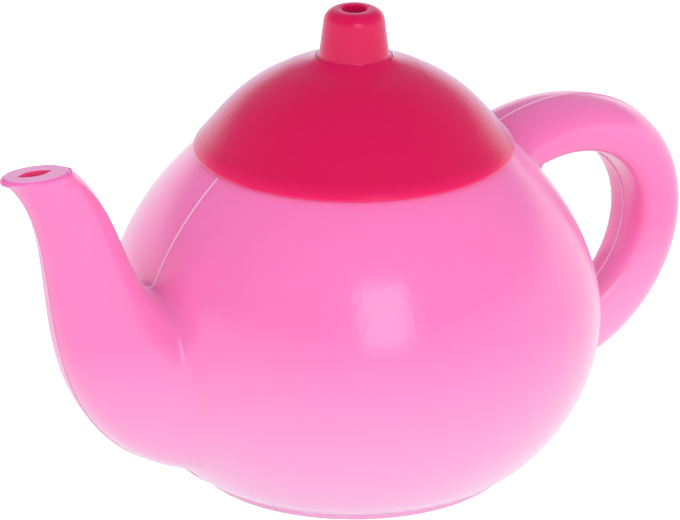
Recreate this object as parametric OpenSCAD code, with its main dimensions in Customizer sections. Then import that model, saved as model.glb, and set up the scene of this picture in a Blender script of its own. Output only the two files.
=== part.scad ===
// Toy teapot: a pot made of two half shells that meet on a seam, a lift-off lid and the lid's knob.
// Origin: middle of the flat foot. +Z is up, the spout points to -X, the handle to +X, the seam lies on Y = 0.

/* [Pot] */
// Diameter of the pot at its widest
pot_d = 124.8; // [118:0.2:132]
// Height of the widest ring above the table
pot_widest_z = 40.8; // [37:0.2:44]
// Diameter of the flat foot
foot_d = 78.4; // [70:0.2:86]
// Height of the flat land round the mouth, which the lid rests on
mouth_z = 84.6; // [81:0.2:88]
// Outer diameter of the pot at that land
shoulder_d = 76.8; // [74:0.2:79]
// Diameter of the mouth
mouth_d = 66; // [56:0.5:68]
// Thickness of the pot's wall
wall = 2; // [1.4:0.1:2.6]

/* [Spout] */
// Distance from the pot's axis to the front edge of the pouring lip
spout_reach = 100.3; // [94:0.1:108]
// Height of the flat pouring face
spout_top_z = 95; // [90:0.5:102]
// Length of the pouring face, front to back
spout_tip_l = 18.1; // [15:0.1:22]
// Width of the pouring face
spout_tip_w = 11.2; // [9:0.1:14]
// Width of the spout's root, inside the pot
spout_root_w = 43.2; // [38:0.2:48]
// Height of the underside of the root, inside the pot
spout_root_low_z = 7.6; // [6:0.1:10]
// Height of the top of the root, inside the pot
spout_root_high_z = 58.6; // [54:0.1:62]
// Length of the pouring hole
pour_hole_l = 9.4; // [6:0.1:11]
// Width of the pouring hole
pour_hole_w = 3.4; // [2.4:0.1:4.4]

/* [Handle] */
// Distance from the pot's axis to the outside of the handle
handle_reach = 97.9; // [93:0.1:105]
// Height of the handle's highest point
handle_top_z = 86.4; // [83:0.1:90]
// Height of the middle of the handle's lower end, inside the pot
handle_low_z = 17.5; // [15:0.1:20]
// Thickness of the handle where it leaves the shoulder
handle_shoulder_t = 11.5; // [10:0.1:14]
// Thickness of the handle at the grip
handle_grip_t = 15.5; // [13:0.1:17]
// Thickness of the handle where it meets the pot below
handle_low_t = 15.2; // [13:0.1:17]
// Width of the handle where it leaves the shoulder
handle_shoulder_w = 27.4; // [24:0.1:30]
// Width of the handle at the grip
handle_grip_w = 17.4; // [15:0.1:20]
// Width of the handle where it meets the pot below
handle_low_w = 12.2; // [11:0.1:16]

/* [Lid] */
// Diameter of the lid's rim
lid_d = 80.2; // [79.2:0.1:84]
// Height of the rim's upright edge
lid_edge_h = 1.1; // [0.8:0.1:2]
// Height of the dome, from the top of the edge to the knob's seat
dome_h = 22.6; // [18:0.2:27]
// Thickness of the lid's wall
lid_wall = 2; // [1.4:0.1:2.6]
// How far the lid's collar reaches into the mouth
collar_depth = 6; // [4:0.5:10]
// Thickness of the collar
collar_wall = 1.8; // [1.4:0.1:2.4]

/* [Knob] */
// Diameter of the knob at its base
knob_base_d = 17.6; // [16:0.1:18]
// Diameter of the knob's flared foot
knob_foot_d = 18.8; // [18.2:0.1:20]
// Height of the flare at the knob's foot
knob_foot_h = 0.9; // [0.5:0.1:2]
// Diameter of the knob under its rounded top edge
knob_top_d = 15.4; // [13:0.1:15.8]
// Height of the knob above its seat
knob_h = 12.5; // [11:0.1:16]
// Radius of the rounded top edge
knob_edge_r = 3; // [2:0.1:3.6]
// Diameter of the hole in the knob's top
knob_hole_d = 6.6; // [5:0.1:7.4]
// Thickness of the knob's wall
knob_wall = 2.2; // [1.6:0.1:2.6]
// Outer diameter of the spigot that plugs into the dome
spigot_d = 12; // [11:0.1:13]
// How far the spigot reaches below the knob's seat
spigot_l = 3.6; // [3:0.1:6]

/* [Seam] */
// Width of the raised seam line, both halves together
seam_w = 0.6; // [0.4:0.05:1]
// Height of the raised seam line
seam_h = 0.3; // [0.2:0.05:0.6]

/* [Fits] */
// Gap all round between the lid's collar and the mouth
collar_gap = 0.4; // [0.3:0.05:0.8]
// Gap between the lid's rim and the land that it rests on
seat_gap = 0.05; // [0.02:0.01:0.1]
// Gap all round between the spigot and its hole in the dome
spigot_gap = 0.05; // [0.02:0.01:0.1]
// How far the near half's lip reaches into the far half's rebate
lip_h = 1.5; // [1:0.1:2.5]
// Gap between the lip and the rebate
lip_gap = 0.1; // [0.05:0.01:0.2]

/* [Hidden] */

// Overrun of every cut past the face that it opens
over = 1;
$fn = 128;

// Roundness of the pot's outline above and below its widest ring, 2 being an ellipse
shoulder_roundness = 1.8;
foot_roundness = 2.04;
// Squareness of the sections, 2 being an ellipse: the spout's front and back, the handle's outside and inside
spout_squareness = [2.08, 2.08];
handle_squareness = [2, 4];

pot_r = pot_d/2;
shoulder_h = semi_axis(mouth_z - pot_widest_z, shoulder_d/pot_d, shoulder_roundness);
foot_h = semi_axis(pot_widest_z, foot_d/pot_d, foot_roundness);
profile_steps = 16;

// Control points of the spout's front and back lines: x runs from the root to the lip, z up to the pouring face
spout_root_x = -0.668*pot_r;
spout_front_shares = [[0, 0], [0.683, 0.063], [0.91, 0.446], [0.652, 0.799], [1, 1]];
spout_back_shares = [[0.171, 0], [0.595, -0.168], [0.625, 0.286], [0.647, 0.643], [1, 1]];
spout_root_width_shares = [1, 0.986, 0, 0, 0];
spout_tip_width_shares = [0, 0, 1.446, 1.536, 1];
spout_rings = 18;
// Where the spout's hollow ends below the solid tip, along the spout
spout_hollow_share = 0.9;
// Where the lip and its rebate end, along the spout
lip_end_share = 0.76;

// Control points of the handle's middle line: x from the root to the reach, z from the low end to the top
handle_root_x = 0.577*pot_r;
handle_x_shares = [0, 0.435, 1.099, 0.956, 1.013, 0.415, 0.113];
handle_z_shares = [0.791, 1.091, 0.842, 0.533, 0.052, -0.033, 0];
handle_rings = 26;
section_steps = 12;

lid_r = lid_d/2;
lid_bottom_z = mouth_z + seat_gap;
rim_z = lid_bottom_z + lid_edge_h;
knob_z = rim_z + dome_h;
collar_r = mouth_d/2 - collar_gap;
knob_seat_r = knob_foot_d/2 + knob_wall/10;
// Control points of the dome's outline: r from the knob's seat to the rim, z from the rim to the seat
dome_r_shares = [1, 0.73, 0.668, 0];
dome_z_shares = [0, 0.412, 0.651, 1];
dome_steps = 20;
knob_edge_steps = 6;

pot_colour = [0.98, 0.52, 0.78];
lid_colour = [0.85, 0.11, 0.36];

// Semi-axis of a superellipse that narrows to the share of its width at the height h
function semi_axis(h, share, roundness) = h/pow(1 - pow(share, roundness), 1/roundness);

// Point at t on the curve of the control points, which may be numbers or vectors
function curve(points, t) =
    len(points) == 1 ? points[0]
    : curve([for (i = [0:len(points) - 2]) points[i]*(1 - t) + points[i + 1]*t], t);

// Value at t on the smooth curve through a, m in the middle, and b
function through(a, m, b, t) = curve([a, 2*m - (a + b)/2, b], t);

// Cosine or sine bent from an ellipse towards a rectangle
function squared(value, squareness) = sign(value)*pow(abs(value), 2/squareness);

// A line of points moved sideways by a distance, to the left of its direction
function moved(points, distance) =
    [for (i = [0:len(points) - 1])
        let (a = points[max(i - 1, 0)], b = points[min(i + 1, len(points) - 1)], d = (b - a)/norm(b - a))
        points[i] + distance*[-d.y, d.x]];

// Radius of the pot at the height z, drawn in by an inset
function pot_radius(z, inset) =
    let (above = z > pot_widest_z, roundness = above ? shoulder_roundness : foot_roundness,
         share = abs(z - pot_widest_z)/((above ? shoulder_h : foot_h) - inset))
    (pot_r - inset)*pow(max(0, 1 - pow(share, roundness)), 1/roundness);

// Outline of the pot from the height low to the height high
function pot_outline(low, high, inset) =
    concat([for (i = [0:profile_steps]) let (z = low + (pot_widest_z - low)*sin(90*i/profile_steps))
                [pot_radius(z, inset), z]],
           [for (i = [1:profile_steps]) let (z = pot_widest_z + (high - pot_widest_z)*i/profile_steps)
                [pot_radius(z, inset), z]]);

// The spout's front and back points and half width at t, drawn in by an inset
function spout_line(shares, root_z, tip_x) =
    [for (share = shares)
        [spout_root_x + share[0]*(tip_x - spout_root_x), root_z + share[1]*(spout_top_z - root_z)]];
function drawn_in(front, back, half_w, inset) =
    let (d = (back - front)/norm(back - front))
    [front + inset*d, back - inset*d, half_w - inset];
function spout_at(t, inset) =
    drawn_in(curve(spout_line(spout_front_shares, spout_root_low_z, -spout_reach), t),
             curve(spout_line(spout_back_shares, spout_root_high_z, -spout_reach + spout_tip_l), t),
             curve(spout_root_width_shares*spout_root_w/2 + spout_tip_width_shares*spout_tip_w/2, t), inset);

// The handle's outer and inner points and half width at t, drawn in by an inset
function handle_middle(t) =
    curve([for (i = [0:len(handle_x_shares) - 1])
        [handle_root_x + handle_x_shares[i]*(handle_reach - handle_root_x),
         handle_low_z + handle_z_shares[i]*(handle_top_z - handle_low_z)]], t);
function handle_at(t, inset) =
    let (step = 1/handle_rings/2, d = handle_middle(t + step) - handle_middle(t - step),
         side = [-d.y, d.x]/norm(d), half_t = through(handle_shoulder_t, handle_grip_t, handle_low_t, t)/2)
    drawn_in(handle_middle(t) + half_t*side, handle_middle(t) - half_t*side,
             through(handle_shoulder_w, handle_grip_w, handle_low_w, t)/2, inset);

// Half of a section on the near side, closed on the plane Y = past
function half_section(line, squareness, past) =
    let (front = line[0], back = line[1], half_w = line[2], middle = (front + back)/2, arm = (front - back)/2)
    concat([for (k = [0:section_steps])
                let (a = 180*k/section_steps, n = squareness[a > 90 ? 1 : 0], at = middle + arm*squared(cos(a), n))
                [at.x, -half_w*squared(sin(a), n), at.y]],
           past > 0 ? [[back.x, past, back.y], [front.x, past, front.y]] : []);

// Solid through a row of sections with the same number of points
module loft(sections) {
    n = len(sections[0]);
    last = len(sections) - 1;
    polyhedron(
        points = [for (section = sections) each section],
        faces = concat(
            [[for (k = [0:n - 1]) k]],
            [[for (k = [n - 1:-1:0]) last*n + k]],
            [for (i = [0:last - 1], k = [0:n - 1]) each
                [[i*n + k, (i + 1)*n + k, i*n + (k + 1)%n],
                 [i*n + (k + 1)%n, (i + 1)*n + k, (i + 1)*n + (k + 1)%n]]]));
}

module pot_solid(low, high, inset, angle) {
    rotate([0, 0, 180])
        rotate_extrude(angle = angle)
            polygon(concat([[0, low]], pot_outline(low, high, inset), [[0, high]]));
}

module spout_solid(inset, past, end) {
    loft([for (i = [0:spout_rings]) half_section(spout_at(end*i/spout_rings, inset), spout_squareness, past)]);
}

module handle_solid(inset, past) {
    loft([for (i = [0:handle_rings]) half_section(handle_at(i/handle_rings, inset), handle_squareness, past)]);
}

// Outline of the whole pot on the seam's plane, drawn in by an inset
module seam_outline(inset, low, high, end) {
    outline = pot_outline(low, high, inset);
    spout = [for (i = [0:spout_rings]) spout_at(end*i/spout_rings, inset)];
    handle = [for (i = [0:handle_rings]) handle_at(i/handle_rings, inset)];
    polygon(concat([[0, low]], outline, [[0, high]],
                   [for (i = [len(outline) - 1:-1:0]) [-outline[i].x, outline[i].y]]));
    polygon(concat([for (line = spout) line[0]], [for (i = [spout_rings:-1:0]) spout[i][1]]));
    polygon(concat([for (line = handle) line[0]], [for (i = [handle_rings:-1:0]) handle[i][1]]));
}

// Seam line on the near side, proud of the pot
module seam_line() {
    rotate([90, 0, 0])
        linear_extrude(height = seam_w/2)
            seam_outline(-seam_h, seam_h, mouth_z - lid_edge_h, 1);
}

// Inside of the pot's wall at an inset, as a flat slab from the plane Y = from to Y = to
module seam_slab(inset, from, to, end) {
    rotate([90, 0, 0])
        translate([0, 0, -to])
            linear_extrude(height = to - from)
                seam_outline(inset, inset, mouth_z - inset, end);
}

// Round hole through the land
module mouth_hole(r) {
    translate([0, 0, mouth_z - wall - over])
        cylinder(r = r, h = wall + 2*over);
}

// Lens-shaped pouring hole, straight down through the solid tip
module pour_hole() {
    hole_r = (pour_hole_l*pour_hole_l + pour_hole_w*pour_hole_w)/pour_hole_w/4;
    hole_h = (1 - spout_hollow_share)*spout_top_z + over;
    translate([spout_tip_l/2 - spout_reach, 0, spout_top_z + over - hole_h])
        intersection_for (side = [-1, 1])
            translate([0, side*(hole_r - pour_hole_w/2), 0])
                cylinder(r = hole_r, h = hole_h);
}

// Near half of the pot: half the belly, half the spout and half the handle in one shell
module half_shell() {
    difference() {
        union() {
            pot_solid(0, mouth_z, 0, 180);
            spout_solid(0, 0, 1);
            handle_solid(0, 0);
            seam_line();
        }
        pot_solid(wall, mouth_z - wall, wall, 360);
        spout_solid(wall, over, spout_hollow_share);
        handle_solid(wall, over);
        mouth_hole(mouth_d/2);
        pour_hole();
    }
}

module pot_near_half() {
    color(pot_colour)
        union() {
            half_shell();
            difference() {
                seam_slab(wall/2 + lip_gap, -lip_h/2, lip_h, lip_end_share);
                seam_slab(wall - lip_gap, -lip_h, lip_h + over, spout_hollow_share);
                mouth_hole(mouth_d/2 + wall/2 + lip_gap);
            }
        }
}

module pot_far_half() {
    color(pot_colour)
        difference() {
            mirror([0, 1, 0]) half_shell();
            difference() {
                seam_slab(wall/2, -over, lip_h + lip_gap, lip_end_share);
                mouth_hole(mouth_d/2 + wall/2);
            }
        }
}

function dome_outline() =
    [for (i = [0:dome_steps])
        [knob_seat_r + curve(dome_r_shares, i/dome_steps)*(lid_r - knob_seat_r),
         rim_z + curve(dome_z_shares, i/dome_steps)*dome_h]];

module lid_dome() {
    outline = dome_outline();
    inner = [for (point = moved(outline, lid_wall)) if (point.y > lid_bottom_z + lid_wall) point];
    top = inner[len(inner) - 1];
    color(lid_colour)
        difference() {
            union() {
                rotate_extrude()
                    polygon(concat([[0, lid_bottom_z], [lid_r - lid_edge_h/2, lid_bottom_z],
                                    [lid_r, lid_bottom_z + lid_edge_h/2]], outline, [[0, knob_z]]));
                translate([0, 0, lid_bottom_z - collar_depth])
                    cylinder(r = collar_r, h = collar_depth + lid_wall);
            }
            rotate_extrude()
                polygon(concat([[0, inner[0].y]], inner, [[0, top.y]]));
            translate([0, 0, lid_bottom_z - collar_depth - over])
                cylinder(r = collar_r - collar_wall, h = collar_depth + lid_wall + 2*over);
            translate([0, 0, rim_z])
                cylinder(r = spigot_d/2 + spigot_gap, h = dome_h + over);
        }
}

module lid_knob() {
    r = knob_top_d/2;
    top = knob_z + knob_h;
    edge = [for (i = [0:knob_edge_steps]) let (a = 90*i/knob_edge_steps)
        [r - knob_edge_r + knob_edge_r*cos(a), top - knob_edge_r + knob_edge_r*sin(a)]];
    spigot_bore_r = spigot_d/2 - knob_wall;
    color(lid_colour)
        rotate_extrude()
            polygon(concat([[spigot_bore_r, knob_z - spigot_l], [spigot_d/2, knob_z - spigot_l],
                            [spigot_d/2, knob_z], [knob_foot_d/2, knob_z], [knob_base_d/2, knob_z + knob_foot_h]],
                           edge,
                           [[knob_hole_d/2, top], [knob_hole_d/2, top - knob_wall],
                            [r - knob_wall, top - knob_wall - knob_edge_r/2],
                            [spigot_bore_r + knob_wall/2, knob_z + knob_wall], [spigot_bore_r, knob_z]]));
}

pot_near_half();
pot_far_half();
lid_dome();
lid_knob();
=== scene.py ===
import math
import bmesh
import bpy
import numpy as np
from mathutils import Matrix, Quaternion, Vector


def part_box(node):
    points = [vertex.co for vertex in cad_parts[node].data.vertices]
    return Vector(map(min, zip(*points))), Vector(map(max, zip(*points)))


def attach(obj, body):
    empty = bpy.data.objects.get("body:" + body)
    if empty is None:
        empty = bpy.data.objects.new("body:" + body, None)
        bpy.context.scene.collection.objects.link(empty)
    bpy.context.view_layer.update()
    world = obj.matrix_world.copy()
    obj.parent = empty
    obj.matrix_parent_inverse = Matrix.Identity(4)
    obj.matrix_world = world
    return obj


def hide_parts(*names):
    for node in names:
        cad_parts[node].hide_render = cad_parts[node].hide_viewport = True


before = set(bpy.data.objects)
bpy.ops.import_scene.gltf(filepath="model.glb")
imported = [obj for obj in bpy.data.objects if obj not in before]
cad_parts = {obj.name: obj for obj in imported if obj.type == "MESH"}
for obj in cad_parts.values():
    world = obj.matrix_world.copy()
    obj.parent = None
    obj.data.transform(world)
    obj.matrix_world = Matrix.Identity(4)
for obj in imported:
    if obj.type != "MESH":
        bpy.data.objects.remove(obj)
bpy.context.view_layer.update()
mm = 0.001      # everything below is shaped in millimetres and scaled once, when a mesh is made
tiny = 1e-6     # keeps divisions away from nought, and tells which points lie on the seam's plane
sharpFrom = 50  # degrees; an edge that bends more than this is shown crisp


def cornersOf(node):
    low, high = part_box(node)
    return np.array(low) / mm, np.array(high) / mm


potLow = cornersOf("pot_near_half")[0]
farHigh = cornersOf("pot_far_half")[1]
domeLow, domeHigh = cornersOf("lid_dome")
knobLow, knobHigh = cornersOf("lid_knob")
print("frame loaded: pot, lid dome and knob measured")


# the pot's three blown forms: belly, spout and handle

belly = {
    "radius": min(-potLow[1], farHigh[1]),
    "widestZ": 40.8,
    "footRadius": 39.2,
    "landZ": 84.6,          # the flat land round the mouth, where the lid rests
    "landRadius": 38.4,
    "mouthRadius": 33.0,
    "roundAbove": 1.8,      # 2 would be an ellipse
    "roundBelow": 2.04,
    "wall": 2.0,
}

spout = {
    "front": [(-41.7, 7.6), (-81.7, 13.1), (-95.0, 46.6), (-79.9, 77.4), (-100.3, 95.0)],
    "back": [(-48.6, 58.6), (-65.8, 52.5), (-67.0, 69.0), (-67.9, 82.0), (-82.2, 95.0)],
    "halfWidths": [21.6, 21.3, 8.1, 8.6, 5.6],
    "squareness": (2.08, 2.08),   # of the sections' back and front, 2 being an ellipse
    "blend": 3.0,           # how softly the root runs into the belly
    "reach": ((-108.0, -38.0), (-32.0, 2.0), (0.0, 97.0)),   # where it is looked for; the near side will do
    "span": (-0.06, 1.05),  # from before its first section to past its last
}

handle = {
    "middle": [(36.0, 72.0), (62.9, 92.7), (104.0, 75.5), (95.2, 54.2), (98.7, 21.1), (61.7, 15.2),
               (43.0, 17.5)],
    "halfThickness": (5.75, 7.75, 7.6),   # at the shoulder, the grip and the lower end
    "halfWidth": (13.7, 8.7, 6.1),
    "squareness": (4.0, 2.0),     # inside and outside of the loop
    "blend": 2.2,
    "reach": ((28.0, 104.0), (-16.0, 2.0), (4.0, 94.0)),
    "span": (-0.05, 1.0),
}

search = {
    # how the section through a point is looked for
    "sections": 72,
    "refinements": 3,
    "step": 1e-4,
    "longestMove": 0.02,
    "flatSlope": 1e-9,
    "pointsAtOnce": 20000,
    "farOff": 1e3,          # the distance given to points that a form doesn't reach
}


def curveAt(points, t):
    # a smooth curve through its first and last control points
    rows = [np.outer(np.ones_like(t), p) for p in np.atleast_2d(np.array(points, float).T).T]
    while len(rows) > 1:
        rows = [a * (1 - t)[:, None] + b * t[:, None] for a, b in zip(rows, rows[1:])]
    return rows[0]


def throughMiddle(values, t):
    first, middle, last = values
    return curveAt([first, 2 * middle - (first + last) / 2, last], t)[:, 0]


def spoutLines(t):
    return curveAt(spout["front"], t), curveAt(spout["back"], t), curveAt(spout["halfWidths"], t)[:, 0]


def handleLines(t):
    step = 0.002
    along = curveAt(handle["middle"], t + step) - curveAt(handle["middle"], t - step)
    sideways = np.stack([-along[:, 1], along[:, 0]], 1) / np.linalg.norm(along, axis=1)[:, None]
    sideways = sideways * throughMiddle(handle["halfThickness"], t)[:, None]
    middle = curveAt(handle["middle"], t)
    return middle + sideways, middle - sideways, throughMiddle(handle["halfWidth"], t)


spout["lines"] = spoutLines
handle["lines"] = handleLines


def placeOnSection(lines, t, x, z):
    # how far a point lies off the section at t, its place along it from -1 at the back to 1 at the front,
    # and the section's half width
    front, back, halfWidth = lines(t)
    armX, armZ = front[:, 0] - back[:, 0], front[:, 1] - back[:, 1]
    offX, offZ = x - back[:, 0], z - back[:, 1]
    length = armX * armX + armZ * armZ
    return (armX * offZ - armZ * offX) / length, 2 * (armX * offX + armZ * offZ) / length - 1, halfWidth


def findSection(part, x, z):
    # each point's place on the form's section that runs through it in the side view, the half width there,
    # and whether there is such a section
    ts = np.linspace(*part["span"], search["sections"])
    front, back, _ = part["lines"](ts)
    arm = front - back
    offX, offZ = x[:, None] - back[:, 0], z[:, None] - back[:, 1]
    off = arm[:, 0] * offZ - arm[:, 1] * offX
    along = 2 * (arm[:, 0] * offX + arm[:, 1] * offZ) / (arm ** 2).sum(1) - 1
    share = off[:, :-1] / np.where(off[:, :-1] == off[:, 1:], 1, off[:, :-1] - off[:, 1:])
    place = along[:, :-1] * (1 - share) + along[:, 1:] * share
    score = np.where(off[:, :-1] * off[:, 1:] <= 0, abs(place), np.inf)
    best = score.argmin(1)
    rows = np.arange(len(x))
    found = np.isfinite(score[rows, best])
    t = ts[best] + np.clip(share[rows, best], 0, 1) * (ts[1] - ts[0])
    step, longest = search["step"], search["longestMove"]
    for _ in range(search["refinements"]):
        here = placeOnSection(part["lines"], t, x, z)[0]
        ahead = placeOnSection(part["lines"], t + step, x, z)[0]
        slope = (ahead - here) / step
        t = t - np.clip(here / np.where(abs(slope) < search["flatSlope"], 1, slope), -longest, longest)
    _, place, halfWidth = placeOnSection(part["lines"], t, x, z)
    return place, halfWidth, found


def squarenessAt(part, place):
    return np.where(place > 0, part["squareness"][1], part["squareness"][0])


def roundedValue(part, place, halfWidth, y):
    n = squarenessAt(part, place)
    return (abs(place) ** n + abs(y / halfWidth) ** n) ** (1 / n)


def loftField(part, p):
    # distance to the surface of the spout or the handle, and the way outward
    value = np.full(len(p), search["farOff"])
    slope = np.zeros_like(p)
    near = np.all([(p[:, i] > low) & (p[:, i] < high + tiny)
                   for i, (low, high) in enumerate(part["reach"])], axis=0)
    for rows in np.array_split(np.nonzero(near)[0], near.sum() // search["pointsAtOnce"] + 1):
        if not len(rows):
            continue
        x, y, z = p[rows].T
        step = 1e-3
        here = findSection(part, x, z)
        right = findSection(part, x + step, z)
        above = findSection(part, x, z + step)
        g = np.maximum(roundedValue(part, here[0], here[1], y), tiny)
        gx = (roundedValue(part, right[0], right[1], y) - g) / step
        gz = (roundedValue(part, above[0], above[1], y) - g) / step
        n = squarenessAt(part, here[0])
        gy = g ** (1 - n) * abs(y / here[1]) ** (n - 1) * np.sign(y) / here[1]
        length = np.sqrt(gx * gx + gy * gy + gz * gz)
        good = here[2] & right[2] & above[2] & (length > tiny)
        value[rows] = np.where(good, (g - 1) / np.where(good, length, 1), search["farOff"])
        slope[rows] = np.where(good, np.array([gx, gy, gz]) / np.where(good, length, 1), 0).T
    return value, slope


def bellyField(p):
    r = np.maximum(np.hypot(p[:, 0], p[:, 1]), tiny)
    above = p[:, 2] > belly["widestZ"]
    n = np.where(above, belly["roundAbove"], belly["roundBelow"])
    height = np.where(above, upperHeight, lowerHeight)
    share = abs(p[:, 2] - belly["widestZ"]) / height
    g = np.maximum(((r / belly["radius"]) ** n + share ** n) ** (1 / n), tiny)
    gr = g ** (1 - n) * (r / belly["radius"]) ** (n - 1) / belly["radius"]
    gz = g ** (1 - n) * share ** (n - 1) / height * np.where(above, 1, -1)
    length = np.hypot(gr, gz)
    slope = np.stack([gr * p[:, 0] / r, gr * p[:, 1] / r, gz], 1) / length[:, None]
    return (g - 1) / length, slope


def heightToPole(height, endRadius, roundness):
    # how far up or down the belly would close; it is cut off at the given height, where it has the end radius
    share = endRadius / belly["radius"]
    return height / (1 - share ** roundness) ** (1 / roundness)


upperHeight = heightToPole(belly["landZ"] - belly["widestZ"], belly["landRadius"], belly["roundAbove"])
lowerHeight = heightToPole(belly["widestZ"], belly["footRadius"], belly["roundBelow"])


def blended(first, second, softness):
    # the union of two forms with a soft fillet where they meet
    a, slopeA = first
    b, slopeB = second
    h = np.maximum(softness - abs(a - b), 0) / softness
    weight = np.where(a < b, 1 - h * h / 2, h * h / 2)[:, None]
    return np.minimum(a, b) - h ** 3 * softness / 6, slopeA * weight + slopeB * (1 - weight)


def potField(p):
    withSpout = blended(bellyField(p), loftField(spout, p), spout["blend"])
    return blended(withSpout, loftField(handle, p), handle["blend"])


def settle(p, rounds, onSeam):
    # moves points straight onto the pot's surface, and gives the way outward there
    for _ in range(rounds):
        value, slope = potField(p)
        p = p - (value / np.maximum((slope ** 2).sum(1), tiny))[:, None] * slope
        p[onSeam, 1] = 0
    return p, slope / np.linalg.norm(slope, axis=1)[:, None]


# the skin of the near half, as a net of four-sided faces

net = {
    "cell": 1.2,           # size of its meshes
    "sides": (-104, 104),  # the grid's limits in x, its depth from the seam and its top
    "depth": 66,
    "topZ": 96,
    "cellsBelow": 3,       # rows of the grid below the foot's cut
    "settling": 3,         # rounds in which points move onto the surface
    "evening": 5,          # rounds in which the net is evened out
    "eveningShare": 0.6,   # of the way to the middle of its neighbours, which a point moves in a round
    "footCut": 6.0,        # below this the foot is turned row by row
    "mouthCut": 83.8,      # above this the land is turned row by row
    "tipCut": 0.93,        # beyond this share of the spout its tip is built ring by ring
    "footBelow": 20,       # what counts as near the foot, the mouth and the tip when they are cut
    "mouthMargin": 10,
    "tipFrom": (-68, 80),
    "snapShare": 0.2,      # of a mesh: points closer than this to a cut slide onto it
    "snapping": 4,
    "cutGap": 1e-4,
    "cutNear": 0.02,       # points closer than this to a cut belong to its open edge
    "fadeRows": 4,         # rows over which the net's small departures from round fade out
}


def surfaceNet(cell):
    # one point in each cell of a grid that the surface runs through, and a face round each line of the grid
    # that it crosses
    xs = np.arange(*net["sides"], cell)
    ys = np.arange(-round(net["depth"] / cell), 2) * cell - cell / 2
    zs = np.arange(net["footCut"] - net["cellsBelow"] * cell, net["topZ"], cell)
    grid = np.stack(np.meshgrid(xs, ys, zs, indexing="ij"), -1)
    value = potField(grid.reshape(-1, 3))[0].reshape(grid.shape[:3])
    within = value < 0
    shape = np.array(within.shape) - 1
    total = np.zeros((*shape, 3))
    count = np.zeros(shape)
    corners = [(i, j, k) for i in (0, 1) for j in (0, 1) for k in (0, 1)]

    def shifted(array, c):
        return array[c[0]:c[0] + shape[0], c[1]:c[1] + shape[1], c[2]:c[2] + shape[2]]

    for a in corners:
        for axis in range(3):
            if a[axis]:
                continue
            b = tuple(1 if i == axis else v for i, v in enumerate(a))
            va, vb = shifted(value, a), shifted(value, b)
            cross = shifted(within, a) != shifted(within, b)
            share = np.where(cross, va / np.where(cross, va - vb, 1), 0)[..., None]
            point = shifted(grid, a) * (1 - share) + shifted(grid, b) * share
            total += np.where(cross[..., None], point, 0)
            count += cross
    active = count > 0
    number = np.full(shape, -1)
    number[active] = np.arange(active.sum())
    points = total[active] / count[active][:, None]
    onSeam = np.nonzero(active)[1] == shape[1] - 1
    points[onSeam, 1] = 0
    faces = []
    for axis in range(3):
        u, v = (axis + 1) % 3, (axis + 2) % 3
        start = [slice(None)] * 3
        end = [slice(None)] * 3
        start[axis], end[axis] = slice(0, -1), slice(1, None)
        where = np.argwhere(within[tuple(start)] != within[tuple(end)])
        i, j = where[:, u], where[:, v]
        where = where[(i > 0) & (j > 0) & (i < shape[u]) & (j < shape[v])]
        outward = within[tuple(where.T)]
        ring = []
        for du, dv in ((-1, -1), (0, -1), (0, 0), (-1, 0)):
            cellAt = where.copy()
            cellAt[:, u] += du
            cellAt[:, v] += dv
            ring.append(number[tuple(cellAt.T)])
        ring = np.array(ring).T
        faces.append(np.where(outward[:, None], ring, ring[:, ::-1]))
    return points, np.concatenate(faces), onSeam


def relax(points, faces, onSeam, rounds):
    # evens out the net without leaving the surface
    edges = np.concatenate([faces[:, [i, (i + 1) % 4]] for i in range(4)])
    edges = np.unique(np.sort(edges, 1), axis=0)
    keep = ~(onSeam[edges[:, 0]] ^ onSeam[edges[:, 1]])
    both = np.concatenate([edges, edges[:, ::-1]])
    inner = np.concatenate([edges[keep], edges[keep][:, ::-1]])
    use = np.concatenate([both[~onSeam[both[:, 0]]], inner[onSeam[inner[:, 0]]]])
    count = np.maximum(np.bincount(use[:, 0], minlength=len(points)), 1)
    for _ in range(rounds):
        mean = np.stack([np.bincount(use[:, 0], points[use[:, 1], i], len(points)) for i in range(3)], 1)
        points = points + net["eveningShare"] * (mean / count[:, None] - points)
        points, _ = settle(points, 1, onSeam)
    return points


points, faces, onSeam = surfaceNet(net["cell"])
points, _ = settle(points, net["settling"], onSeam)
points = relax(points, faces, onSeam, net["evening"])
points, _ = settle(points, net["settling"], onSeam)
print("skin of the pot netted:", len(points), "points")


# where the net is cut: the foot, the land and the spout's tip are finished row by row

def tipPlane():
    front, back, _ = spoutLines(np.array([net["tipCut"]]))
    arm = front[0] - back[0]
    normal = np.array([arm[1], 0, -arm[0]]) / np.hypot(*arm)
    return np.array([back[0][0], 0, back[0][1]]), normal * (1 if normal[2] > 0 else -1)


def nearFoot(p):
    return p[:, 2] < net["footBelow"]


def nearMouth(p):
    return np.hypot(p[:, 0], p[:, 1]) < belly["mouthRadius"] + net["mouthMargin"]


def nearTip(p):
    return (p[:, 0] < net["tipFrom"][0]) & (p[:, 2] > net["tipFrom"][1])


cuts = {
    # a point on each cut, the way to what is cut off, and what the cut is kept to
    "foot": (np.array([0, 0, net["footCut"]]), np.array([0.0, 0, -1]), nearFoot),
    "mouth": (np.array([0, 0, net["mouthCut"]]), np.array([0.0, 0, 1]), nearMouth),
    "tip": (*tipPlane(), nearTip),
}


def snapToCut(p, origin, normal, near):
    # points that lie close to a cut slide onto it, so that the cut leaves no slivers
    off = (p - origin) @ normal
    rows = np.nonzero(near(p) & (abs(off) < net["snapShare"] * net["cell"]))[0]
    q = p[rows] - off[rows][:, None] * normal
    for _ in range(net["snapping"]):
        value, slope = potField(q)
        slope = slope - (slope @ normal)[:, None] * normal
        q = q - (value / (slope ** 2).sum(1))[:, None] * slope
    q[onSeam[rows], 1] = 0
    p[rows] = q
    return p


for origin, normal, near in cuts.values():
    points = snapToCut(points, origin, normal, near)

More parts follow.
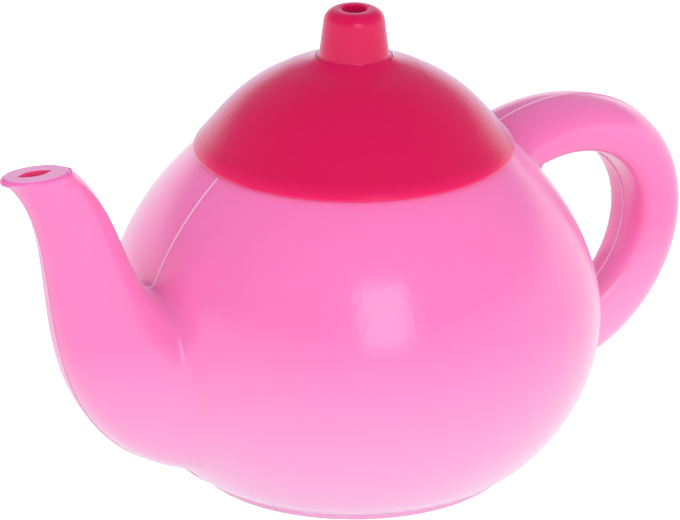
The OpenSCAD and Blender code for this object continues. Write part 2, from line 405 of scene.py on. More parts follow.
skin = bmesh.new()
corner = [skin.verts.new(p) for p in points]
for face in faces:
    skin.faces.new([corner[i] for i in face])
for origin, normal, near in cuts.values():
    closeBy = near(np.array([v.co for v in skin.verts]))
    picked = [v for v, use in zip(skin.verts, closeBy) if use]
    chosen = set(picked)
    picked += [e for e in skin.edges if all(v in chosen for v in e.verts)]
    picked += [f for f in skin.faces if all(v in chosen for v in f.verts)]
    bmesh.ops.bisect_plane(skin, geom=picked, dist=net["cutGap"], plane_co=origin, plane_no=normal,
                           clear_outer=True)
bmesh.ops.delete(skin, geom=[v for v in skin.verts if not v.link_faces], context="VERTS")
skin.verts.index_update()
outside = np.array([v.co for v in skin.verts], float)
patches = [[v.index for v in f.verts] for f in skin.faces]
openPoints = np.unique([v.index for e in skin.edges if len(e.link_faces) == 1 for v in e.verts])
skin.free()
outside, normals = settle(outside, 1, abs(outside[:, 1]) < tiny)


def cutLoop(name):
    # the points on one cut, in order from the +X side of the seam, or from the front of the tip, to the
    # other side, and for the tip how far round each one lies
    origin, normal, near = cuts[name]
    p = outside[openPoints]
    loop = openPoints[near(p) & (abs((p - origin) @ normal) < net["cutNear"])]
    p = outside[loop]
    if name != "tip":
        return loop[np.argsort(np.arctan2(abs(p[:, 1]), p[:, 0]))], None
    place, halfWidth, _ = findSection(spout, p[:, 0], p[:, 2])
    n = spout["squareness"][0] / 2
    turn = np.arctan2(abs(p[:, 1] / halfWidth) ** n, np.sign(place) * abs(place) ** n)
    order = np.argsort(turn)
    return loop[order], turn[order]


# the rows that finish the foot, the land and the spout's tip; each outer row has its partner inside the wall

foot = {
    # radius and height of each row, the foot's short upright rim among them, and how much of the seam line
    # is left there, 1 being all of it
    "outside": [(45.15, 4.7, 1), (43.5, 3.55, 1), (41.95, 2.55, 1), (40.8, 1.9, 0.8), (40.3, 1.55, 0.5),
                (40.1, 1.25, 0.3), (39.95, 0.75, 0.2), (39.75, 0.3, 0.1), (39.4, 0.07, 0), (38.9, 0, 0),
                (37.5, 0, 0), (33, 0, 0), (26, 0, 0), (18, 0, 0), (9, 0, 0), (3, 0, 0)],
    "inside": [(44.2, 6.3), (42.4, 4.9), (40.8, 3.85), (39.4, 3.1), (38.2, 2.6), (37.2, 2.3), (36.3, 2.12),
               (35.5, 2.03), (34.8, 2), (34, 2), (32.5, 2), (29, 2), (23, 2), (16, 2), (8, 2), (2.6, 2)],
}

land = {
    "outside": [(39.05, 84.14, 0.7), (38.78, 84.38, 0.3), (38.45, 84.54, 0), (38.0, 84.6, 0), (36.5, 84.6, 0),
                (34.6, 84.6, 0), (33.6, 84.58, 0), (33.2, 84.47, 0), (33.02, 84.2, 0), (33.0, 83.3, 0)],
    "inside": [(37.75, 82.45), (37.4, 82.54), (36.9, 82.6), (36.3, 82.6), (35.6, 82.6), (34.9, 82.6),
               (34.2, 82.6), (33.6, 82.6), (33.15, 82.67), (33.0, 82.9)],
}

tip = {
    "topZ": 95.0,
    "frontRoll": 1.7,       # radius of the lip that rolls over at the front
    "sideRoll": 0.7,
    "rollPower": 3,         # how quickly the front's roll gives way to that of the sides
    "holeLength": 9.4,
    "holeWidth": 3.4,
    "hollowTopZ": 90.0,     # where the hollow under the solid tip ends
    "hollowBulge": 0.5,     # how far the hollow's end rises between its wall and its middle
    "flare": 0.2,           # how far the lip stands out over the neck below it
    "flareLean": 0.5,       # how much less than that in front, and more behind
    "neckRows": ((0.3, 0), (0.55, -0.4), (0.72, -0.6), (0.86, 0.2), (1, 1)),    # shares of neck and flare
    "rollSteps": 5,
    "faceShares": (0.12, 0.55, 0.9, 0.97),      # of the way from the lip to the hole
    "holeDepths": (0.0, 0.25, 1.2, 3.0, 4.2),
    "holeEase": 1.03,       # how much wider the hole is at its very edge
}


def turnedRows(loop, rows):
    # rows of a turned surface that start at a cut, where the net's small departures from round fade out
    p = outside[loop]
    angle = np.arctan2(-abs(p[:, 1]), p[:, 0])
    angle[[0, -1]] = 0, -math.pi
    extra = np.hypot(p[:, 0], p[:, 1]) - np.median(np.hypot(p[:, 0], p[:, 1]))
    made = []
    for k, (radius, z, *_) in enumerate(rows):
        r = radius + extra * max(0, 1 - (k + 1) / net["fadeRows"])
        row = np.stack([r * np.cos(angle), r * np.sin(angle), np.full(len(loop), z)], 1)
        row[[0, -1], 1] = 0
        made.append(row)
    return made


def tipRows(turn, hollowLoop):
    # the rows from the neck over the lip and into the hole, those inside, and the seam line's shares
    front, back = spout["front"][-1], spout["back"][-1]
    halfLength, halfWidth = (back[0] - front[0]) / 2, spout["halfWidths"][-1]
    middleX = (front[0] + back[0]) / 2
    n = 2 / spout["squareness"][0]
    place = np.sign(np.cos(turn)) * abs(np.cos(turn)) ** n
    side = np.sin(turn) ** n
    frontShare = np.maximum(np.cos(turn), 0) ** tip["rollPower"]
    roll = tip["sideRoll"] + (tip["frontRoll"] - tip["sideRoll"]) * frontShare
    rise = (len(spout["front"]) - 1) * (front[1] - spout["front"][-2][1])
    last = 1 - roll / rise
    made, seamShares = [], []

    def onSpout(t, proud):
        ahead, behind, width = spoutLines(t)
        middle, arm = (ahead + behind) / 2, (ahead - behind) / 2
        length = np.linalg.norm(arm, axis=1)
        arm = arm * ((length + proud) / length)[:, None]
        x, z = middle.T + arm.T * place
        return np.stack([x, -(width + proud) * side, z], 1)

    for share, flare in tip["neckRows"]:
        proud = flare * tip["flare"] * (1 - tip["flareLean"] * place)
        made.append(onSpout(net["tipCut"] + (last - net["tipCut"]) * share, proud))
        seamShares.append(1)
    edge = made[-1].copy()
    for k in range(1, tip["rollSteps"] + 1):
        a = math.pi / 2 * k / tip["rollSteps"]
        inset = roll * (1 - math.cos(a))
        row = np.stack([middleX - (halfLength - inset) * place, -(halfWidth - inset) * side,
                        tip["topZ"] - roll * (1 - math.sin(a))], 1)
        row = row + (edge - onSpout(last, 0 * turn)) * math.cos(a)
        made.append(row)
        seamShares.append(1 - k / tip["rollSteps"])
    lip = made[-1]
    # each side of the hole is a bow of this radius
    bow = (tip["holeLength"] ** 2 + tip["holeWidth"] ** 2) / tip["holeWidth"] / 4
    along = np.cos(turn) * tip["holeLength"] / 2
    across = np.sqrt(bow * bow - along * along) - (bow - tip["holeWidth"] / 2)
    hole = np.stack([middleX - along, -np.maximum(across, 0), np.full(len(turn), tip["topZ"])], 1)
    for share in tip["faceShares"]:
        made.append(lip * (1 - share) + hole * share)
        seamShares.append(0)
    for depth in tip["holeDepths"]:
        row = hole - [0, 0, depth]
        if depth == 0:
            row[:, 1] *= tip["holeEase"]
        made.append(row)
        seamShares.append(0)
    inner = []
    floorRow = hole - [0, 0, tip["topZ"] - tip["hollowTopZ"]]
    for k in range(1, len(made) + 1):
        share = k / len(made)
        row = hollowLoop * (1 - share) + floorRow * share
        row[:, 2] += tip["hollowBulge"] * math.sin(math.pi * share)
        inner.append(row)
    for row in made + inner:
        row[[0, -1], 1] = 0
    return made, inner, seamShares


inside = outside - belly["wall"] * normals
seamShare = dict.fromkeys(np.nonzero(abs(outside[:, 1]) < tiny)[0].tolist(), 1.0)
rims = []       # the loops at which the skin's outer and inner side are joined


def sewRows(loop, outerRows, innerRows, shares, closing=None):
    # adds rows of points to the skin and sews them to the loop that they start from
    global outside, inside
    previous = loop
    for outer, inner, share in zip(outerRows, innerRows, shares):
        start = len(outside)
        row = np.arange(start, start + len(loop))
        outside = np.concatenate([outside, outer])
        inside = np.concatenate([inside, inner])
        patches.extend([previous[i], previous[i + 1], row[i + 1], row[i]] for i in range(len(loop) - 1))
        seamShare[int(row[0])] = seamShare[int(row[-1])] = share
        previous = row
    if closing is None:
        rims.append(previous)
        return
    outside = np.concatenate([outside, [closing[0]]])
    inside = np.concatenate([inside, [closing[1]]])
    centre = len(outside) - 1
    patches.extend([previous[i], previous[i + 1], centre] for i in range(len(loop) - 1))
    seamShare[centre] = 0


footLoop, _ = cutLoop("foot")
sewRows(footLoop, turnedRows(footLoop, foot["outside"]), turnedRows(footLoop, foot["inside"]),
        [row[2] for row in foot["outside"]], ([0, 0, 0], [0, 0, belly["wall"]]))
landLoop, _ = cutLoop("mouth")
sewRows(landLoop, turnedRows(landLoop, land["outside"]), turnedRows(landLoop, land["inside"]),
        [row[2] for row in land["outside"]])
tipLoop, tipTurn = cutLoop("tip")
tipOuter, tipInner, tipShares = tipRows(tipTurn, inside[tipLoop])
sewRows(tipLoop, tipOuter, tipInner, tipShares)
holeFaces = (len(tip["holeDepths"]) - 1) * (len(tipLoop) - 1)   # the last ones of the skin
print("foot, land and tip built:", len(footLoop), len(landLoop), len(tipLoop), "points round")


# the two half shells: the skin, its inner side, the raised seam line and the face on which the halves meet

seam = {
    "halfWidth": 0.3,
    "leastWidth": 0.01,     # where the line has faded out, so that the halves never share a point
    "height": 0.28,
    "profile": ((0.95, 0.42), (0.75, 0.78), (0.42, 0.96), (0.0, 1.0)),   # across and up, as shares
}


def seamNormals():
    # which way is out, on the seam's plane, at each point of the seam
    total = np.zeros((len(outside), 3))
    for face in patches:
        p = outside[face]
        total[face] += np.cross(p[2] - p[0], p[-1] - p[1])
    total[:, 1] = 0
    return total


def openSeamEdges():
    # the open edges of the skin that lie on the seam's plane
    edges = dict.fromkeys((int(a), int(b)) for face in patches for a, b in zip(face, face[1:] + face[:1]))
    return [(a, b) for a, b in edges if (b, a) not in edges and a in seamShare and b in seamShare]


def pieceFrom(name, points, faceList):
    # an object from points in millimetres, its faces turned outward and its crisp edges marked
    mesh = bpy.data.meshes.new(name)
    mesh.from_pydata((points * mm).tolist(), [], faceList)
    mesh.validate()
    shaped = bmesh.new()
    shaped.from_mesh(mesh)
    bmesh.ops.recalc_face_normals(shaped, faces=shaped.faces)
    openLeft = sum(len(e.link_faces) != 2 for e in shaped.edges)
    shaped.to_mesh(mesh)
    shaped.free()
    mesh.shade_smooth()
    mesh.set_sharp_from_angle(angle=math.radians(sharpFrom))
    piece = bpy.data.objects.new(name, mesh)
    bpy.context.scene.collection.objects.link(piece)
    print(name, len(mesh.polygons), "faces, edges without two faces:", openLeft)
    return piece


def makeHalf(name, mirrored):
    n = len(outside)
    out = seamNormals()
    members = sorted(seamShare)
    place = {v: i for i, v in enumerate(members)}
    shares = np.array([seamShare[v] for v in members])
    base = outside[members]
    up = out[members] / np.maximum(np.linalg.norm(out[members], axis=1), tiny)[:, None]
    width = seam["leastWidth"] + (seam["halfWidth"] - seam["leastWidth"]) * shares
    height = seam["height"] * shares
    skinPoints = outside.copy()
    skinPoints[members, 1] = -width
    rowsUp = [base + up * (height * h)[:, None] - np.outer(width * w, [0, 1, 0]) for w, h in seam["profile"]]
    allPoints = np.concatenate([skinPoints, inside, *rowsUp])
    faceList = [list(map(int, f)) for f in patches]
    faceList += [[int(v) + n for v in reversed(f)] for f in patches]

    def ladder(v):
        # the points of the raised line over one point of the seam, from its side up to its ridge
        return [v] + [2 * n + k * len(members) + place[v] for k in range(len(seam["profile"]))]

    for a, b in openSeamEdges():
        stepsA, stepsB = ladder(a), ladder(b)
        faceList += [[stepsB[k], stepsA[k], stepsA[k + 1], stepsB[k + 1]] for k in range(len(stepsA) - 1)]
        faceList.append([stepsB[-1], stepsA[-1], a + n, b + n])
    for loop in (rim.tolist() for rim in rims):
        faceList += [[b, a, a + n, b + n] for a, b in zip(loop, loop[1:])]
        faceList += [ladder(end) + [end + n] for end in (loop[0], loop[-1])]
    if mirrored:
        allPoints[:, 1] *= -1
    piece = pieceFrom(name, allPoints, faceList)
    # the pouring hole's faces take the painted shade
    for face in piece.data.polygons[len(patches) - holeFaces:len(patches)]:
        face.material_index = 1
    return piece


potNear = makeHalf("potNearHalf", False)
potFar = makeHalf("potFarHalf", True)


# the lid: a turned dome with its collar, and the knob plugged into it

dome = {
    "rimRadius": domeHigh[0],
    "restZ": 84.65,            # the underside of the rim
    "rimHeight": 0.75,
    "rimEdges": (0.15, 0.3),   # roundings of the rim, below and above
    "rimTurn": 50,             # degrees of the upper one, up to where the dome begins
    "seatZ": 108.35,           # where the knob sits
    "wall": 2.0,
    "collarRadius": 32.6,
    "collarWall": 1.8,
    "collarLowZ": domeLow[2],
    "collarBevels": (0.3, 0.8),     # where it meets the rim's underside, and the ceiling inside
    "ceilingEase": 0.6,        # a flat edge inside where the ceiling meets the dome
    "spigotHoleRadius": 6.05,
    "spigotHoleBevel": 0.25,
    "spigotHoleUnder": (0.3, 0.1),  # the hole's lower edge: out, and down
    "spigotHoleGap": 0.2,      # where the dome's inner side ends short of the hole
    "shape": [(1, 0), (0.73, 0.412), (0.668, 0.651), (0, 1)],   # shares of the way from seat to rim, and up
    "shapeFrom": 0.015,        # the rim's rounding takes the place of what comes before
    "shapeRows": 48,
    "seatRadius": 9.62,
    "seatLip": [(0.1, 0.12), (-0.03, 0.2), (-0.12, 0.1), (-0.14, 0)],   # a low lip there: out, and up
    "crownDip": 0.4,           # how far the crown sinks round the knob, between these radii
    "dipRadii": (18.0, 12.5),
    "fillet": (12.2, 10.4),    # radii of its start and of its bend
    "filletRows": 8,
    "turns": 192,
}

knob = {
    "footRadius": 9.4,
    "footEdge": 0.2,
    "footTurn": 30,            # degrees past level, up to which the foot's edge is round
    "baseRadius": 8.75,        # above the foot's flare
    "flareHeight": 1.1,
    "flareBend": (0.03, 0.55),  # the flare's bend: out from the base, and up
    "flareRows": 5,
    "sideRows": 8,
    "topRadius": 7.7,
    "topZ": knobHigh[2],
    "edgeRadius": 3.2,
    "holeRadius": 3.3,
    "holeEdge": 0.35,
    "holeRing": 0.3,           # a flat ring round the hole's edge
    "wall": 2.2,
    "hollowTop": [(-0.5, -1.2), (0, -2.4)],     # the hollow's upper corner: out, and up
    "spigotRadius": 6.0,
    "spigotLowZ": knobLow[2],
    "spigotBevel": 0.4,
    "boreEdge": 0.2,
    "turns": 128,
}


def arc(centre, radius, start, end, steps):
    # points on an arc in the (radius, height) plane, angles in degrees
    turn = np.radians(np.linspace(start, end, steps + 1))
    return [(centre[0] + radius * math.cos(a), centre[1] + radius * math.sin(a)) for a in turn]


def turned(name, outline, turns):
    # a closed outline of radius and height, turned once round the upright axis
    outline = np.array(outline)
    n = len(outline)
    angle = np.linspace(0, 2 * math.pi, turns, endpoint=False)
    rings = np.stack([np.outer(np.cos(angle), outline[:, 0]), np.outer(np.sin(angle), outline[:, 0]),
                      np.tile(outline[:, 1], (turns, 1))], -1).reshape(-1, 3)
    faceList = []
    for i in range(turns):
        here, ahead = i * n, (i + 1) % turns * n
        faceList += [[here + k, ahead + k, ahead + (k + 1) % n, here + (k + 1) % n] for k in range(n)]
    return pieceFrom(name, rings, faceList)


def domeOutline():
    # from the rim over the crown to the knob's seat, through the spigot's hole and back along the inner side
    seatRadius, seatZ = dome["seatRadius"], dome["seatZ"]
    rimZ = dome["restZ"] + dome["rimHeight"]
    shares = curveAt(dome["shape"], np.linspace(dome["shapeFrom"], 1, dome["shapeRows"]))
    outer = np.stack([seatRadius + shares[:, 0] * (dome["rimRadius"] - seatRadius),
                      rimZ + shares[:, 1] * (seatZ - rimZ)], 1)
    start, end = dome["dipRadii"]
    near = np.clip((start - outer[:, 0]) / (start - end), 0, 1)
    outer[:, 1] -= dome["crownDip"] * near * near * (3 - 2 * near)
    along = np.gradient(outer, axis=0)
    inward = np.stack([-along[:, 1], along[:, 0]], 1) / np.linalg.norm(along, axis=1)[:, None]
    inner = outer + dome["wall"] * inward
    ceiling = dome["restZ"] + dome["wall"]
    hole = dome["spigotHoleRadius"]
    inner = inner[(inner[:, 1] > ceiling) & (inner[:, 0] > hole + dome["spigotHoleGap"])]
    below, above = dome["rimEdges"]
    rimEdge = arc((dome["rimRadius"] - below, dome["restZ"] + below), below, -90, 0, 4)
    rimEdge += arc((dome["rimRadius"] - above, rimZ - above), above, 0, dome["rimTurn"], 4)
    filletStart, bendRadius = dome["fillet"]
    keep = outer[:, 0] > filletStart
    top, before = outer[keep][-1], outer[keep][-2]
    slope = (top[1] - before[1]) / (top[0] - before[0])
    bend = (bendRadius, top[1] + slope * (bendRadius - top[0]))
    lip = [(seatRadius + out, seatZ + up) for out, up in dome["seatLip"]]
    outline = [tuple(p) for p in outer[keep]]
    ts = np.linspace(0, 1, dome["filletRows"] + 1)[1:]
    outline += [tuple(p) for p in curveAt([tuple(top), bend, lip[0]], ts)]
    outline += lip[1:]
    bevel = dome["spigotHoleBevel"]
    outline += [(hole + bevel, seatZ), (hole, seatZ - bevel)]
    under = inner[-1][1]
    out, down = dome["spigotHoleUnder"]
    outline += [(hole, under), (hole + out, under - down)]
    outline += [tuple(p) for p in inner[::-1]]
    r, w = dome["collarRadius"], dome["collarWall"]
    atRim, atCeiling = dome["collarBevels"]
    outline += [(inner[0][0] - dome["ceilingEase"], ceiling), (r - w + atCeiling, ceiling),
                (r - w, ceiling - atCeiling)]
    outline += arc((r - w / 2, dome["collarLowZ"] + w / 2), w / 2, 180, 360, 8)
    outline += [(r, dome["restZ"] - atRim), (r + atRim, dome["restZ"])]
    return outline + rimEdge


lidDome = turned("lidDome", domeOutline(), dome["turns"])


def knobOutline():
    # from the spigot's low end up the outer side, over the top, through the hole and down the hollow
    edge, footEdge, holeEdge = knob["edgeRadius"], knob["footEdge"], knob["holeEdge"]
    spigot, lowZ, bevel = knob["spigotRadius"], knob["spigotLowZ"], knob["spigotBevel"]
    topRadius, topZ, hole, wall = knob["topRadius"], knob["topZ"], knob["holeRadius"], knob["wall"]
    seatZ = dome["seatZ"]
    outline = [(spigot - bevel, lowZ), (spigot, lowZ + bevel), (spigot, seatZ)]
    outline += arc((knob["footRadius"] - footEdge, seatZ + footEdge), footEdge, -90, knob["footTurn"], 5)
    out, up = knob["flareBend"]
    flareBend = (knob["baseRadius"] + out, seatZ + up)
    flareTop = (knob["baseRadius"], seatZ + knob["flareHeight"])
    ts = np.linspace(0, 1, knob["flareRows"] + 1)[1:]
    outline += [tuple(p) for p in curveAt([outline[-1], flareBend, flareTop], ts)]
    lean = math.atan2(knob["baseRadius"] - topRadius, topZ - edge - seatZ)
    wallTop = (topRadius - edge, topZ - edge)
    start = (wallTop[0] + edge * math.cos(lean), wallTop[1] + edge * math.sin(lean))
    low = outline[-1]
    outline += [tuple(a + (b - a) * k / knob["sideRows"] for a, b in zip(low, start))
                for k in range(1, knob["sideRows"])]
    outline += arc(wallTop, edge, math.degrees(lean), 90, 14)
    outline.append((hole + holeEdge + knob["holeRing"], topZ))
    outline += arc((hole + holeEdge, topZ - holeEdge), holeEdge, 90, 180, 5)
    outline.append((hole, topZ - wall))
    outline += [(topRadius - wall + out, topZ - wall + up) for out, up in knob["hollowTop"]]
    bore = spigot - wall
    outline += [(bore + wall / 2, seatZ + wall), (bore, seatZ + bevel), (bore, lowZ + knob["boreEdge"]),
                (bore + knob["boreEdge"], lowZ)]
    return outline


lidKnob = turned("lidKnob", knobOutline(), knob["turns"])


# finishes

finish = {
    # heights and widths are in millimetres, from where a shade is full to where it has gone
    # sheen is the pale bloom of the plastic at grazing angles: its weight and roughness
    # painted light: lower down the pot is painted paler, for light from the floor below
    "pot": {"colour": (0.96, 0.2, 0.52), "paintedLightColour": (0.98, 0.46, 0.75), "paintedLightHeights": (4.0, 51.0),
            # painted highlight along the raised seam line
            "seamHighlightColour": (0.97, 0.5, 0.76), "seamHighlightWidth": (0.2, 0.34), "seamHighlightHeights": (93.5, 93.9),
            # painted shade on the spout's rolled lip
            "lipColour": (0.86, 0.17, 0.5), "lipHeights": (94.3, 93.9),
            # painted reflection: the spout's flat upward end is painted paler
            "tipColour": (0.97, 0.38, 0.71), "tipHeights": (94.98, 94.88),
            "roughness": 0.22, "specular": 0.45, "sheen": (0.4, 0.4), "sheenTint": (0.88, 0.86, 1.0),
            "coat": (0.5, 0.15)},
    # painted light: towards its rim the lid is painted paler, for light from below
    "lid": {"colour": (0.665, 0.005, 0.091), "paintedLightColour": (0.84, 0.012, 0.135), "paintedLightHeights": (84.4, 88.0),
            "roughness": 0.24, "specular": 0.25, "sheen": (0.95, 0.31),
            "sheenTint": (0.66, 0.7, 1.0), "coat": (0.2, 0.15)},
    # painted shade inside the pouring hole
    "hole": {"colour": (0.9, 0.075, 0.24), "roughness": 0.35, "specular": 0.3, "sheen": (0.0, 0.3),
             "sheenTint": (1.0, 1.0, 1.0), "coat": (0.0, 0.15)},
}

grain = {
    # what the three finishes share
    "ior": 1.5,
    "subsurface": 0.2,
    "subsurfaceRadius": (1.0, 0.35, 0.5),
    "subsurfaceScale": 0.004,
    "cloudScale": 26,          # faint clouds in the colour
    "cloudDetail": 3,
    "cloudLimits": (0.3, 0.7),
    "cloudShade": 0.96,
    "peelScale": 560,          # fine unevenness of the surface
    "peelDetail": 2,
    "peelStrength": 0.22,
    "peelDepth": 0.0003,
}


def shareBetween(nodes, links, value, limits):
    # 1 at the first of two limits in millimetres and beyond it, 0 at the second
    share = nodes.new("ShaderNodeMapRange")
    for end, limit, level in zip(("Min", "Max"), limits, (1, 0)):
        share.inputs["From " + end].default_value = limit * mm
        share.inputs["To " + end].default_value = level
    links.new(value, share.inputs["Value"])
    return share.outputs["Result"]


def mixed(nodes, links, share, colour, otherColour):
    # the other colour where the share is 1
    mix = nodes.new("ShaderNodeMix")
    mix.data_type = "RGBA"
    links.new(share, mix.inputs[0])
    links.new(colour, mix.inputs[6])
    mix.inputs[7].default_value = (*otherColour, 1)
    return mix.outputs[2]


def plastic(name, look):
    material = bpy.data.materials.new(name)
    material.use_nodes = True
    nodes, links = material.node_tree.nodes, material.node_tree.links
    shader = nodes["Principled BSDF"]
    shader.inputs["Roughness"].default_value = look["roughness"]
    shader.inputs["IOR"].default_value = grain["ior"]
    shader.inputs["Specular IOR Level"].default_value = look["specular"]
    for layer in ("Sheen", "Coat"):
        weight, roughness = look[layer.lower()]
        shader.inputs[layer + " Weight"].default_value = weight
        shader.inputs[layer + " Roughness"].default_value = roughness
    shader.inputs["Sheen Tint"].default_value = (*look["sheenTint"], 1)
    shader.inputs["Subsurface Weight"].default_value = grain["subsurface"]
    shader.inputs["Subsurface Radius"].default_value = grain["subsurfaceRadius"]
    shader.inputs["Subsurface Scale"].default_value = grain["subsurfaceScale"]
    place = nodes.new("ShaderNodeTexCoord")
    clouds = nodes.new("ShaderNodeTexNoise")
    clouds.inputs["Scale"].default_value = grain["cloudScale"]
    clouds.inputs["Detail"].default_value = grain["cloudDetail"]
    links.new(place.outputs["Object"], clouds.inputs["Vector"])
    shades = nodes.new("ShaderNodeValToRGB")
    stops = shades.color_ramp.elements
    for stop, position, shade in zip(stops, grain["cloudLimits"], (grain["cloudShade"], 1)):
        stop.position = position
        stop.color = (*[c * shade for c in look["colour"]], 1)
    links.new(clouds.outputs["Fac"], shades.inputs["Fac"])
    colour = shades.outputs["Color"]
    spot = nodes.new("ShaderNodeSeparateXYZ")
    links.new(place.outputs["Object"], spot.inputs[0])
    if "paintedLightColour" in look:
        # painted light: the pot is painted paler lower down, and the lid towards its rim, standing in for
        # light from below that shines through and onto the thin plastic
        low = shareBetween(nodes, links, spot.outputs["Z"], look["paintedLightHeights"])
        colour = mixed(nodes, links, low, colour, look["paintedLightColour"])
    if "seamHighlightColour" in look:
        # painted highlight: the raised line on the seam is painted paler, for the light that its thin ridge
        # catches, up to the spout's tip
        off = nodes.new("ShaderNodeMath")
        off.operation = "ABSOLUTE"
        links.new(spot.outputs["Y"], off.inputs[0])
        onSeamHighlight = nodes.new("ShaderNodeMath")
        onSeamHighlight.operation = "MULTIPLY"
        links.new(shareBetween(nodes, links, off.outputs[0], look["seamHighlightWidth"]), onSeamHighlight.inputs[0])
        links.new(shareBetween(nodes, links, spot.outputs["Z"], look["seamHighlightHeights"]), onSeamHighlight.inputs[1])
        colour = mixed(nodes, links, onSeamHighlight.outputs[0], colour, look["seamHighlightColour"])
        # painted shade and painted reflection: the spout's rolled lip, which faces a little downward, is
        # painted deeper, and its flat upward end is painted paler, for the bright surroundings that it
        # reflects
        for part in ("lip", "tip"):
            share = shareBetween(nodes, links, spot.outputs["Z"], look[part + "Heights"])
            colour = mixed(nodes, links, share, colour, look[part + "Colour"])
    links.new(colour, shader.inputs["Base Color"])
    peel = nodes.new("ShaderNodeTexNoise")
    peel.inputs["Scale"].default_value = grain["peelScale"]
    peel.inputs["Detail"].default_value = grain["peelDetail"]
    links.new(place.outputs["Object"], peel.inputs["Vector"])
    bump = nodes.new("ShaderNodeBump")
    bump.inputs["Strength"].default_value = grain["peelStrength"]
    bump.inputs["Distance"].default_value = grain["peelDepth"]
    links.new(peel.outputs["Fac"], bump.inputs["Height"])
    for layer in ("Normal", "Coat Normal"):
        links.new(bump.outputs["Normal"], shader.inputs[layer])
    return material


pinkPlastic = plastic("pinkPlastic", finish["pot"])
raspberryPlastic = plastic("raspberryPlastic", finish["lid"])
# painted shade: the pouring hole's walls are painted a deeper, darker pink, for the shade and pink light
# bouncing inside it
holeShadePlastic = plastic("holeShadePlastic", finish["hole"])
for piece, node, body, slotName, material in (
        (potNear, "pot_near_half", "pot", "pot", pinkPlastic),
        (potFar, "pot_far_half", "pot", "pot", pinkPlastic),
        (lidDome, "lid_dome", "lid", "lid", raspberryPlastic),
        (lidKnob, "lid_knob", "lid", "lid", raspberryPlastic)):
    piece.data.materials.append(material)
    if body == "pot":
        piece.data.materials.append(holeShadePlastic)
    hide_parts(node)
    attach(piece, body)
print("pieces dressed")


# floor, light and camera

studio = {
    "floorSize": 6.0,
    "floorShade": 0.95,
    "floorGlow": 0.85,         # lifts the lit floor to white in the picture, and leaves the shadow on it
    "skyLevels": (1.75, 0.62),  # light from the surroundings, at the horizon and high up
    "skyTop": 0.8,
    "ceilingShade": 0.03,      # how bright the ceiling is in reflections; the backdrop is white
    "ceilingFrom": (0.12, 0.36),
    "keyPower": 3.4,
    "keySize": (0.54, 0.7),
    "keyTarget": (0, 0, 0.055),
    "keyDistance": 1.35,
    "keyTurn": -16.5,          # degrees from straight in front, and up
    "keyRise": 28.8,
}


def rays(tree, *kinds):
    # 1 for rays of these kinds, 0 for the others
    path = tree.nodes.new("ShaderNodeLightPath")
    total = path.outputs[f"Is {kinds[0]} Ray"]
    for kind in kinds[1:]:
        either = tree.nodes.new("ShaderNodeMath")
        either.operation = "MAXIMUM"
        tree.links.new(total, either.inputs[0])
        tree.links.new(path.outputs[f"Is {kind} Ray"], either.inputs[1])
        total = either.outputs[0]
    return total


def direction(turn, rise):
    # the way to a point so many degrees round from straight in front, and up
    turn, rise = math.radians(turn), math.radians(rise)
    return Vector((math.sin(turn) * math.cos(rise), -math.cos(turn) * math.cos(rise), math.sin(rise)))


world = bpy.data.worlds.new("studio")
bpy.context.scene.world = world
world.use_nodes = True
nodes, links = world.node_tree.nodes, world.node_tree.links
sky = nodes["Background"]
backdrop = nodes.new("ShaderNodeBackground")
place = nodes.new("ShaderNodeTexCoord")
height = nodes.new("ShaderNodeSeparateXYZ")
links.new(place.outputs["Generated"], height.inputs[0])
dimming = nodes.new("ShaderNodeMapRange")
dimming.inputs["From Max"].default_value = studio["skyTop"]
dimming.inputs["To Min"].default_value, dimming.inputs["To Max"].default_value = studio["skyLevels"]
links.new(height.outputs["Z"], dimming.inputs["Value"])
links.new(dimming.outputs["Result"], sky.inputs["Strength"])
ceiling = nodes.new("ShaderNodeMapRange")
ceiling.interpolation_type = "SMOOTHSTEP"
ceiling.inputs["From Min"].default_value, ceiling.inputs["From Max"].default_value = studio["ceilingFrom"]
ceiling.inputs["To Min"].default_value = 1
ceiling.inputs["To Max"].default_value = studio["ceilingShade"]
links.new(height.outputs["Z"], ceiling.inputs["Value"])
links.new(ceiling.outputs["Result"], backdrop.inputs["Strength"])
for shader in (sky, backdrop):
    shader.inputs["Color"].default_value = (1, 1, 1, 1)
both = nodes.new("ShaderNodeMixShader")
links.new(rays(world.node_tree, "Camera", "Glossy", "Transmission"), both.inputs["Fac"])
links.new(sky.outputs[0], both.inputs[1])
links.new(backdrop.outputs[0], both.inputs[2])
links.new(both.outputs[0], nodes["World Output"].inputs["Surface"])

half = studio["floorSize"] / 2
floorMesh = bpy.data.meshes.new("floor")
floorCorners = [(-half, -half, 0), (half, -half, 0), (half, half, 0), (-half, half, 0)]
floorMesh.from_pydata(floorCorners, [], [(0, 1, 2, 3)])
floor = bpy.data.objects.new("floor", floorMesh)
bpy.context.scene.collection.objects.link(floor)
floorPaint = bpy.data.materials.new("floorPaint")
floorPaint.use_nodes = True
nodes, links = floorPaint.node_tree.nodes, floorPaint.node_tree.links
floorShader = nodes["Principled BSDF"]
floorShader.inputs["Base Color"].default_value = (*[studio["floorShade"]] * 3, 1)
floorShader.inputs["Roughness"].default_value = 1
floorShader.inputs["Specular IOR Level"].default_value = 0
floorShader.inputs["Emission Color"].default_value = (1, 1, 1, 1)
glow = nodes.new("ShaderNodeMath")
glow.operation = "MULTIPLY"
glow.inputs[1].default_value = studio["floorGlow"]
links.new(rays(floorPaint.node_tree, "Camera"), glow.inputs[0])
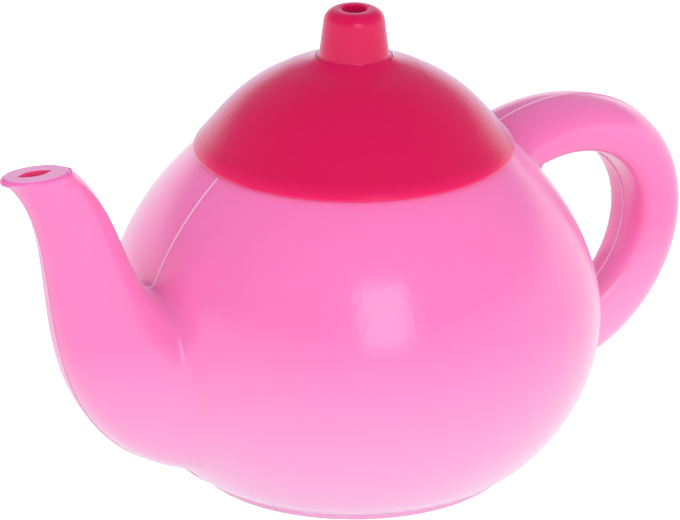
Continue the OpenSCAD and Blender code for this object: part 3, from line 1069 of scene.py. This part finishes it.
links.new(glow.outputs[0], floorShader.inputs["Emission Strength"])
floorInMirrors = nodes.new("ShaderNodeEmission")
either = nodes.new("ShaderNodeMixShader")
links.new(rays(floorPaint.node_tree, "Glossy", "Transmission"), either.inputs["Fac"])
links.new(floorShader.outputs[0], either.inputs[1])
links.new(floorInMirrors.outputs[0], either.inputs[2])
links.new(either.outputs[0], nodes["Material Output"].inputs["Surface"])
floorMesh.materials.append(floorPaint)

keyLight = bpy.data.lights.new("key", "AREA")
keyLight.energy = studio["keyPower"]
keyLight.shape = "RECTANGLE"
keyLight.size, keyLight.size_y = studio["keySize"]
key = bpy.data.objects.new("key", keyLight)
bpy.context.scene.collection.objects.link(key)
toKey = direction(studio["keyTurn"], studio["keyRise"])
key.location = Vector(studio["keyTarget"]) + studio["keyDistance"] * toKey
key.rotation_euler = toKey.to_track_quat("Z", "Y").to_euler()

view = {
    "azimuth": -32.3,
    "elevation": 21.2,
    "roll": 0.22,
    "distance": 1.5,
    "target": (0, 0, 0.055),
    "focalPixels": 5964,
    "targetPixel": (353.32, 256.39),
    "imageSize": (680, 520),
    "sensor": 36.0,
    "clip": (0.05, 20),
}

cameraData = bpy.data.cameras.new("camera")
camera = bpy.data.objects.new("camera", cameraData)
bpy.context.scene.collection.objects.link(camera)
backward = direction(view["azimuth"], view["elevation"])
camera.location = Vector(view["target"]) + view["distance"] * backward
camera.rotation_mode = "QUATERNION"
roll = Quaternion((0, 0, 1), math.radians(view["roll"]))
camera.rotation_quaternion = backward.to_track_quat("Z", "Y") @ roll
cameraData.sensor_width = view["sensor"]
cameraData.lens = view["focalPixels"] / view["imageSize"][0] * view["sensor"]
cameraData.shift_x = (view["imageSize"][0] / 2 - view["targetPixel"][0]) / view["imageSize"][0]
cameraData.shift_y = (view["targetPixel"][1] - view["imageSize"][1] / 2) / view["imageSize"][0]
cameraData.clip_start, cameraData.clip_end = view["clip"]
bpy.context.scene.camera = camera
bpy.context.scene.view_settings.view_transform = "Standard"
print("floor, light and camera set")
